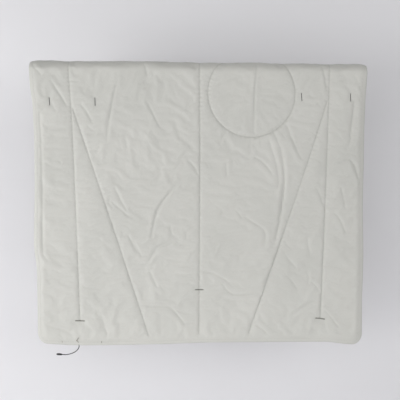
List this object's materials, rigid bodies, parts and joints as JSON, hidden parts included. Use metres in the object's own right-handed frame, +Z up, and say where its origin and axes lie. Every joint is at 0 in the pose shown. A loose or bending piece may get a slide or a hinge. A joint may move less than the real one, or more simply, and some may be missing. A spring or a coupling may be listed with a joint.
{
  "type": "camp quilt",
  "caption": "Padded camp quilt folded in half over a rail, with quilting seams, a round sewn panel, strap loops inside and a drawcord tail at the hem.",
  "frame": {"origin": "middle of the quilt's underside where it rests on top of the rail", "axes": "+X along the rail, to the right as seen from the front drop; -Y out of the front drop; +Z up"},
  "size_m": [1.2, 0.0704, 1.0538],
  "materials": {
    "shell_fabric": "pale sage-grey woven nylon taffeta with a soft satin sheen",
    "lining_fabric": "pale grey woven nylon, a little duller than the shell",
    "insulation": "white lofted polyester fibre",
    "thread": "grey-green polyester sewing thread",
    "dark_thread": "near-black close zigzag stitching",
    "webbing": "black flat-woven polypropylene webbing",
    "cord": "black braided cord",
    "moulded_end": "black moulded plastic, satin"
  },
  "bodies": {
    "saddle_and_back": {"batt_back": "insulation", "batt_saddle": "insulation", "centre_end_tack_back": "thread", "centre_seam_back": "thread", "centre_seam_foot_back": "thread", "centre_seam_saddle": "thread", "edge_stitching_back": "thread", "left_edge_stitching_saddle": "thread", "left_end_tack_back": "thread", "left_seam_back": "thread", "left_seam_saddle": "thread", "lining_back": "lining_fabric", "lining_saddle": "lining_fabric", "right_edge_stitching_saddle": "thread", "right_end_tack_back": "thread", "right_seam_back": "thread", "right_seam_saddle": "thread", "round_seam_saddle": "thread", "shell_back": "shell_fabric", "shell_saddle": "shell_fabric"},
    "front_drop": {"batt_front": "insulation", "centre_end_tack_front": "thread", "centre_seam_foot_front": "thread", "centre_seam_front": "thread", "cord_exit_tack": "dark_thread", "cord_eyelet": "dark_thread", "drawcord_in_hem": "cord", "edge_stitching_front": "thread", "left_diagonal_seam": "thread", "left_end_tack_front": "thread", "left_seam_front": "thread", "left_strap_loop": "webbing", "left_strap_tack_inner": "dark_thread", "left_strap_tack_outer": "dark_thread", "lining_front": "lining_fabric", "right_diagonal_seam": "thread", "right_end_tack_front": "thread", "right_seam_front": "thread", "right_strap_loop": "webbing", "right_strap_tack_inner": "dark_thread", "right_strap_tack_outer": "dark_thread", "round_seam_front": "thread", "shell_front": "shell_fabric"},
    "drawcord": {"drawcord_reserve": "cord", "drawcord_tail": "cord", "cord_end": "moulded_end"}
  },
  "joints": [
    {"name": "front_drop_lift", "type": "hinge", "parent": "saddle_and_back", "child": "front_drop", "pos_m": [0, -0.0332, -0.0212], "axis": [-1, 0, 0], "range_deg": [0, 90]},
    {"name": "drawcord_pull", "type": "slide", "parent": "front_drop", "child": "drawcord", "axis": [0, 0, -1], "range_m": [0, 0.06]}
  ]
}
